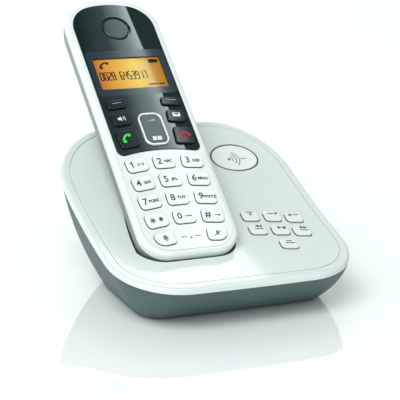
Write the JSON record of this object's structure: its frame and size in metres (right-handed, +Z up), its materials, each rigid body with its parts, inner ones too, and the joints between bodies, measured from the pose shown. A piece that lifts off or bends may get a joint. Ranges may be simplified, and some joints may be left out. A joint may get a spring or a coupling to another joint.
{
  "type": "cordless phone with base",
  "caption": "Cordless telephone handset with keypad and amber display, standing in a sloping white answering-machine base with its own keys, speaker and sockets.",
  "frame": {"origin": "on the desk, under the middle of the whole object's box", "axes": "+Z up, +X to the user's right, +Y away from the user, towards the sockets"},
  "size_m": [0.117, 0.1458, 0.1186],
  "materials": {
    "white_plastic": "satin moulded white with a soft sheen",
    "white_key": "satin moulded white",
    "dark_plastic": "fine spark-eroded grey-green texture",
    "silver_plastic": "silver-grey paint with fine metallic flake",
    "black_gloss": "polished piano black",
    "black_key": "satin black",
    "nav_plastic": "satin dark grey",
    "ring_chrome": "bright satin chrome plating",
    "clear_lens": "clear hard-coated window",
    "display_amber": "amber backlit liquid-crystal cell",
    "badge_plastic": "smooth inlay with a printed oval line",
    "foot_rubber": "soft black rubber",
    "screw_steel": "zinc plated",
    "contact_metal": "gold flash over spring bronze",
    "circuit_board": "green solder mask",
    "switch_plastic": "black moulded switch bodies",
    "speaker_metal": "grey steel basket",
    "jack_plastic": "black moulded socket",
    "dome_film": "clear polyester film",
    "cell_wrap": "printed shrink sleeve"
  },
  "bodies": {
    "base": {"base_top_cover": "white_plastic", "base_bottom_housing": "dark_plastic", "feet": "foot_rubber", "base_screws": "screw_steel", "oval_badge": "badge_plastic", "cradle_contacts": "contact_metal", "base_main_board": "circuit_board", "base_key_board": "circuit_board", "base_key_switches": "switch_plastic", "base_loudspeaker": "speaker_metal", "line_jack": "jack_plastic", "power_jack": "jack_plastic"},
    "handset": {"handset_front_shell": "white_plastic", "handset_back_shell": "silver_plastic", "front_panel": "black_gloss", "display_lens": "clear_lens", "display_module": "display_amber", "earpiece_cap": "black_gloss", "nav_ring": "ring_chrome", "dome_sheet": "dome_film", "handset_board": "circuit_board", "receiver": "speaker_metal", "ringer": "speaker_metal", "microphone": "speaker_metal", "battery_cells": "cell_wrap", "battery_contacts": "contact_metal", "handset_contacts": "contact_metal", "handset_screws": "screw_steel"},
    "battery_cover": {"battery_cover": "silver_plastic"},
    "key_1": {"key_1": "white_key"},
    "key_2": {"key_2": "white_key"},
    "key_3": {"key_3": "white_key"},
    "key_4": {"key_4": "white_key"},
    "key_5": {"key_5": "white_key"},
    "key_6": {"key_6": "white_key"},
    "key_7": {"key_7": "white_key"},
    "key_8": {"key_8": "white_key"},
    "key_9": {"key_9": "white_key"},
    "key_star": {"key_star": "white_key"},
    "key_0": {"key_0": "white_key"},
    "key_hash": {"key_hash": "white_key"},
    "alarm_key": {"alarm_key": "white_key"},
    "mute_key": {"mute_key": "white_key"},
    "softkey_left": {"softkey_left": "black_key"},
    "softkey_right": {"softkey_right": "black_key"},
    "speaker_key": {"speaker_key": "black_key"},
    "message_key": {"message_key": "black_key"},
    "talk_key": {"talk_key": "black_key"},
    "end_key": {"end_key": "black_key"},
    "nav_rocker": {"nav_rocker": "nav_plastic"},
    "base_key_power": {"base_key_power": "white_key"},
    "base_key_volume_down": {"base_key_volume_down": "white_key"},
    "base_key_volume_up": {"base_key_volume_up": "white_key"},
    "base_key_rewind": {"base_key_rewind": "white_key"},
    "base_key_play": {"base_key_play": "white_key"},
    "base_key_forward": {"base_key_forward": "white_key"},
    "base_key_delete": {"base_key_delete": "white_key"}
  },
  "joints": [
    {"name": "handset_lift", "type": "slide", "parent": "base", "child": "handset", "axis": [0, 0, 1], "range_m": [0, 0.06]},
    {"name": "battery_cover_slide", "type": "slide", "parent": "handset", "child": "battery_cover", "axis": [0, -0.795, -0.6065], "range_m": [0, 0.008]},
    {"name": "key_1_press", "type": "slide", "parent": "handset", "child": "key_1", "axis": [0, 0.6065, -0.795], "range_m": [0, 0.0006], "stiffness_N_per_m": 1500},
    {"name": "key_2_press", "type": "slide", "parent": "handset", "child": "key_2", "axis": [0, 0.6065, -0.795], "range_m": [0, 0.0006], "stiffness_N_per_m": 1500},
    {"name": "key_3_press", "type": "slide", "parent": "handset", "child": "key_3", "axis": [0, 0.6065, -0.795], "range_m": [0, 0.0006], "stiffness_N_per_m": 1500},
    {"name": "key_4_press", "type": "slide", "parent": "handset", "child": "key_4", "axis": [0, 0.6065, -0.795], "range_m": [0, 0.0006], "stiffness_N_per_m": 1500},
    {"name": "key_5_press", "type": "slide", "parent": "handset", "child": "key_5", "axis": [0, 0.6065, -0.795], "range_m": [0, 0.0006], "stiffness_N_per_m": 1500},
    {"name": "key_6_press", "type": "slide", "parent": "handset", "child": "key_6", "axis": [0, 0.6065, -0.795], "range_m": [0, 0.0006], "stiffness_N_per_m": 1500},
    {"name": "key_7_press", "type": "slide", "parent": "handset", "child": "key_7", "axis": [0, 0.6065, -0.795], "range_m": [0, 0.0006], "stiffness_N_per_m": 1500},
    {"name": "key_8_press", "type": "slide", "parent": "handset", "child": "key_8", "axis": [0, 0.6065, -0.795], "range_m": [0, 0.0006], "stiffness_N_per_m": 1500},
    {"name": "key_9_press", "type": "slide", "parent": "handset", "child": "key_9", "axis": [0, 0.6065, -0.795], "range_m": [0, 0.0006], "stiffness_N_per_m": 1500},
    {"name": "key_star_press", "type": "slide", "parent": "handset", "child": "key_star", "axis": [0, 0.6065, -0.795], "range_m": [0, 0.0006], "stiffness_N_per_m": 1500},
    {"name": "key_0_press", "type": "slide", "parent": "handset", "child": "key_0", "axis": [0, 0.6065, -0.795], "range_m": [0, 0.0006], "stiffness_N_per_m": 1500},
    {"name": "key_hash_press", "type": "slide", "parent": "handset", "child": "key_hash", "axis": [0, 0.6065, -0.795], "range_m": [0, 0.0006], "stiffness_N_per_m": 1500},
    {"name": "alarm_key_press", "type": "slide", "parent": "handset", "child": "alarm_key", "axis": [0, 0.6065, -0.795], "range_m": [0, 0.0006], "stiffness_N_per_m": 1500},
    {"name": "mute_key_press", "type": "slide", "parent": "handset", "child": "mute_key", "axis": [0, 0.6065, -0.795], "range_m": [0, 0.0006], "stiffness_N_per_m": 1500},
    {"name": "softkey_left_press", "type": "slide", "parent": "handset", "child": "softkey_left", "axis": [0, 0.6065, -0.795], "range_m": [0, 0.0006], "stiffness_N_per_m": 1500},
    {"name": "softkey_right_press", "type": "slide", "parent": "handset", "child": "softkey_right", "axis": [0, 0.6065, -0.795], "range_m": [0, 0.0006], "stiffness_N_per_m": 1500},
    {"name": "speaker_key_press", "type": "slide", "parent": "handset", "child": "speaker_key", "axis": [0, 0.6065, -0.795], "range_m": [0, 0.0006], "stiffness_N_per_m": 1500},
    {"name": "message_key_press", "type": "slide", "parent": "handset", "child": "message_key", "axis": [0, 0.6065, -0.795], "range_m": [0, 0.0006], "stiffness_N_per_m": 1500},
    {"name": "talk_key_press", "type": "slide", "parent": "handset", "child": "talk_key", "axis": [0, 0.6065, -0.795], "range_m": [0, 0.0006], "stiffness_N_per_m": 1500},
    {"name": "end_key_press", "type": "slide", "parent": "handset", "child": "end_key", "axis": [0, 0.6065, -0.795], "range_m": [0, 0.0006], "stiffness_N_per_m": 1500},
    {"name": "nav_tilt", "type": "hinge", "parent": "handset", "child": "nav_rocker", "pos_m": [-0.0181, 0.00373, 0.06985], "axis": [1, 0, 0], "range_deg": [-3.5, 3.5], "stiffness_Nm_per_rad": 0.1},
    {"name": "base_key_power_press", "type": "slide", "parent": "base", "child": "base_key_power", "axis": [0, 0, -1], "range_m": [0, 0.0006], "stiffness_N_per_m": 1500},
    {"name": "base_key_volume_down_press", "type": "slide", "parent": "base", "child": "base_key_volume_down", "axis": [0, 0, -1], "range_m": [0, 0.0006], "stiffness_N_per_m": 1500},
    {"name": "base_key_volume_up_press", "type": "slide", "parent": "base", "child": "base_key_volume_up", "axis": [0, 0, -1], "range_m": [0, 0.0006], "stiffness_N_per_m": 1500},
    {"name": "base_key_rewind_press", "type": "slide", "parent": "base", "child": "base_key_rewind", "axis": [0, 0, -1], "range_m": [0, 0.0006], "stiffness_N_per_m": 1500},
    {"name": "base_key_play_press", "type": "slide", "parent": "base", "child": "base_key_play", "axis": [0, 0, -1], "range_m": [0, 0.0006], "stiffness_N_per_m": 1500},
    {"name": "base_key_forward_press", "type": "slide", "parent": "base", "child": "base_key_forward", "axis": [0, 0, -1], "range_m": [0, 0.0006], "stiffness_N_per_m": 1500},
    {"name": "base_key_delete_press", "type": "slide", "parent": "base", "child": "base_key_delete", "axis": [0, 0, -1], "range_m": [0, 0.0006], "stiffness_N_per_m": 1500}
  ]
}
